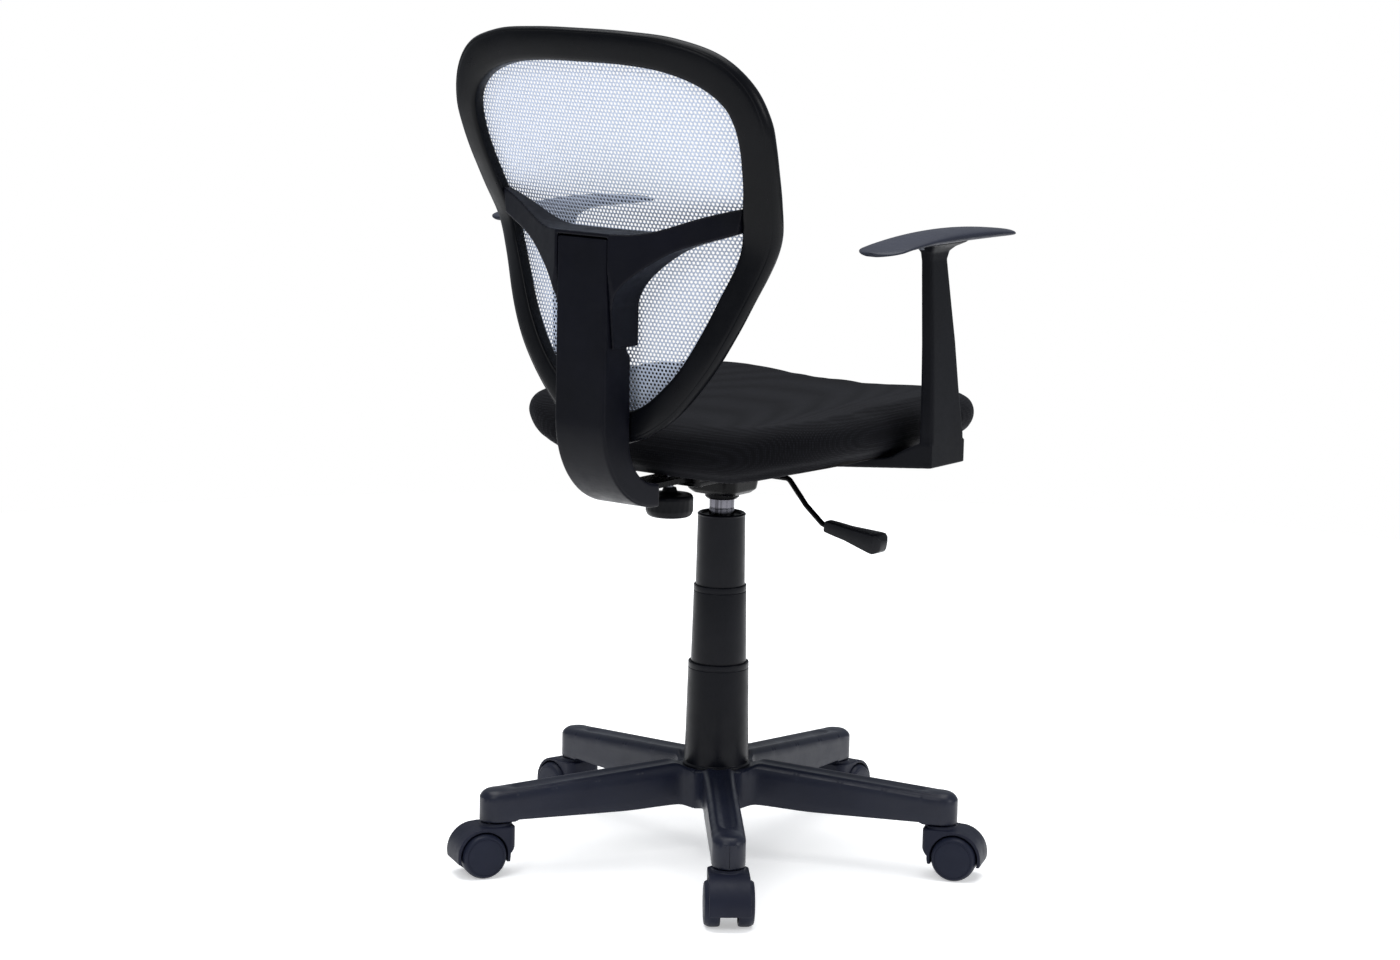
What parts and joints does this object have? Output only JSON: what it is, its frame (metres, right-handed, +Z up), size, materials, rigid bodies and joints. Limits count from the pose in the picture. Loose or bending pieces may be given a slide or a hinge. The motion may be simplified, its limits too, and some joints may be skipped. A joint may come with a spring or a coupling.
{
  "type": "swivel office chair",
  "caption": "Swivel office chair with a padded seat, mesh back on an upright bar, T-shaped armrests, telescopic column cover and star base on twin-wheel casters.",
  "frame": {"origin": "On the floor, on the axis of the gas lift", "axes": "+Z up along the column, -Y the way the sitter faces, -X the sitter's right-hand side"},
  "size_m": [0.5971, 0.5894, 0.931],
  "materials": {
    "base_plastic": "fine-textured black nylon",
    "caster_plastic": "moulded black nylon",
    "wheel_plastic": "moulded black nylon, smooth tread",
    "cover_plastic": "smooth black polypropylene",
    "zinc_steel": "zinc plated",
    "chromed_steel": "polished",
    "painted_steel": "black powder coat",
    "moulded_plastic": "fine-textured black polypropylene",
    "pad_rubber": "soft-touch polyurethane",
    "plywood": "bare moulded plywood",
    "seat_fabric": "black woven mesh cloth over foam",
    "frame_plastic": "satin black",
    "back_mesh_fabric": "open knitted pale grey mesh"
  },
  "bodies": {
    "base": {"star_base": "base_plastic", "stand_tube": "painted_steel", "thrust_bearing": "zinc_steel", "guide_bush": "moulded_plastic", "cover_lower": "cover_plastic"},
    "spindle": {"piston_rod": "chromed_steel", "retaining_clip": "zinc_steel"},
    "seat": {"gas_cylinder": "chromed_steel", "cover_upper": "cover_plastic", "mechanism_pan": "painted_steel", "taper_socket": "painted_steel", "lever_pin": "zinc_steel", "mount_pad": "moulded_plastic", "seat_board": "plywood", "t_nuts": "zinc_steel", "seat_bolts": "zinc_steel", "seat_cushion": "seat_fabric", "armrest_left": "moulded_plastic", "armrest_right": "moulded_plastic", "arm_pad_left": "pad_rubber", "arm_pad_right": "pad_rubber", "arm_pad_screws": "zinc_steel"},
    "cover_stage": {"cover_middle": "cover_plastic"},
    "lever": {"lever_rod": "painted_steel", "lever_grip": "moulded_plastic"},
    "valve_pin": {"release_pin": "chromed_steel"},
    "clamp": {"clamp_knob": "moulded_plastic", "clamp_screw": "zinc_steel"},
    "spine": {"back_bar": "painted_steel", "back_bar_cover": "moulded_plastic", "back_bar_screws": "zinc_steel"},
    "back": {"back_yoke": "moulded_plastic", "back_frame": "frame_plastic", "back_mesh": "back_mesh_fabric"},
    "caster_1": {"caster_hood_1": "caster_plastic", "caster_stem_1": "zinc_steel", "caster_axle_1": "zinc_steel"},
    "wheel_left_1": {"caster_wheel_left_1": "wheel_plastic"},
    "wheel_right_1": {"caster_wheel_right_1": "wheel_plastic"},
    "caster_2": {"caster_hood_2": "caster_plastic", "caster_stem_2": "zinc_steel", "caster_axle_2": "zinc_steel"},
    "wheel_left_2": {"caster_wheel_left_2": "wheel_plastic"},
    "wheel_right_2": {"caster_wheel_right_2": "wheel_plastic"},
    "caster_3": {"caster_hood_3": "caster_plastic", "caster_stem_3": "zinc_steel", "caster_axle_3": "zinc_steel"},
    "wheel_left_3": {"caster_wheel_left_3": "wheel_plastic"},
    "wheel_right_3": {"caster_wheel_right_3": "wheel_plastic"},
    "caster_4": {"caster_hood_4": "caster_plastic", "caster_stem_4": "zinc_steel", "caster_axle_4": "zinc_steel"},
    "wheel_left_4": {"caster_wheel_left_4": "wheel_plastic"},
    "wheel_right_4": {"caster_wheel_right_4": "wheel_plastic"},
    "caster_5": {"caster_hood_5": "caster_plastic", "caster_stem_5": "zinc_steel", "caster_axle_5": "zinc_steel"},
    "wheel_left_5": {"caster_wheel_left_5": "wheel_plastic"},
    "wheel_right_5": {"caster_wheel_right_5": "wheel_plastic"}
  },
  "joints": [
    {"name": "seat_swivel", "type": "hinge", "parent": "base", "child": "spindle", "pos_m": [0, 0, 0.2], "axis": [0, 0, 1], "continuous": true},
    {"name": "seat_height", "type": "slide", "parent": "spindle", "child": "seat", "axis": [0, 0, 1], "range_m": [-0.12, 0]},
    {"name": "cover_stage_slide", "type": "slide", "parent": "base", "child": "cover_stage", "axis": [0, 0, 1], "range_m": [-0.06, 0]},
    {"name": "lever_lift", "type": "hinge", "parent": "seat", "child": "lever", "pos_m": [-0.04, -0.01, 0.437], "axis": [0, 1, 0], "range_deg": [0, 4.5]},
    {"name": "valve_pin_slide", "type": "slide", "parent": "seat", "child": "valve_pin", "axis": [0, 0, -1], "range_m": [0, 0.0035], "stiffness_N_per_m": 1500, "springref_m": -0.001},
    {"name": "clamp_turn", "type": "hinge", "parent": "seat", "child": "clamp", "pos_m": [0, 0.098, 0.41], "axis": [0, 0, 1], "continuous": true},
    {"name": "back_depth", "type": "slide", "parent": "seat", "child": "spine", "axis": [0, 1, 0], "range_m": [-0.02, 0.025]},
    {"name": "back_height", "type": "slide", "parent": "spine", "child": "back", "axis": [0, 0, 1], "range_m": [0, 0.05]},
    {"name": "caster_swivel_1", "type": "hinge", "parent": "base", "child": "caster_1", "pos_m": [0.14089, 0.21613, 0.06], "axis": [0, 0, 1], "continuous": true},
    {"name": "wheel_left_roll_1", "type": "hinge", "parent": "caster_1", "child": "wheel_left_1", "pos_m": [0.15127, 0.23205, 0.025], "axis": [0.8377, -0.5461, 0], "continuous": true},
    {"name": "wheel_right_roll_1", "type": "hinge", "parent": "caster_1", "child": "wheel_right_1", "pos_m": [0.15127, 0.23205, 0.025], "axis": [0.8377, -0.5461, 0], "continuous": true},
    {"name": "caster_swivel_2", "type": "hinge", "parent": "base", "child": "caster_2", "pos_m": [-0.16201, 0.20079, 0.06], "axis": [0, 0, 1], "continuous": true},
    {"name": "wheel_left_roll_2", "type": "hinge", "parent": "caster_2", "child": "wheel_left_2", "pos_m": [-0.17395, 0.21557, 0.025], "axis": [0.7782, 0.628, 0], "continuous": true},
    {"name": "wheel_right_roll_2", "type": "hinge", "parent": "caster_2", "child": "wheel_right_2", "pos_m": [-0.17395, 0.21557, 0.025], "axis": [0.7782, 0.628, 0], "continuous": true},
    {"name": "caster_swivel_3", "type": "hinge", "parent": "base", "child": "caster_3", "pos_m": [-0.24102, -0.09204, 0.06], "axis": [0, 0, 1], "continuous": true},
    {"name": "wheel_left_roll_3", "type": "hinge", "parent": "caster_3", "child": "wheel_left_3", "pos_m": [-0.25877, -0.09882, 0.025], "axis": [-0.3567, 0.9342, 0], "continuous": true},
    {"name": "wheel_right_roll_3", "type": "hinge", "parent": "caster_3", "child": "wheel_right_3", "pos_m": [-0.25877, -0.09882, 0.025], "axis": [-0.3567, 0.9342, 0], "continuous": true},
    {"name": "caster_swivel_4", "type": "hinge", "parent": "base", "child": "caster_4", "pos_m": [0.01305, -0.25767, 0.06], "axis": [0, 0, 1], "continuous": true},
    {"name": "wheel_left_roll_4", "type": "hinge", "parent": "caster_4", "child": "wheel_left_4", "pos_m": [0.01401, -0.27664, 0.025], "axis": [-0.9987, -0.0506, 0], "continuous": true},
    {"name": "wheel_right_roll_4", "type": "hinge", "parent": "caster_4", "child": "wheel_right_4", "pos_m": [0.01401, -0.27664, 0.025], "axis": [-0.9987, -0.0506, 0], "continuous": true},
    {"name": "caster_swivel_5", "type": "hinge", "parent": "base", "child": "caster_5", "pos_m": [0.24909, -0.06721, 0.06], "axis": [0, 0, 1], "continuous": true},
    {"name": "wheel_left_roll_5", "type": "hinge", "parent": "caster_5", "child": "wheel_left_5", "pos_m": [0.26744, -0.07216, 0.025], "axis": [-0.2605, -0.9655, 0], "continuous": true},
    {"name": "wheel_right_roll_5", "type": "hinge", "parent": "caster_5", "child": "wheel_right_5", "pos_m": [0.26744, -0.07216, 0.025], "axis": [-0.2605, -0.9655, 0], "continuous": true}
  ],
  "couplings": [
    {"joint": "cover_stage_slide", "follows": "seat_height", "ratio": 0.5},
    {"joint": "valve_pin_slide", "follows": "lever_lift", "m_per_rad": 0.04}
  ]
}
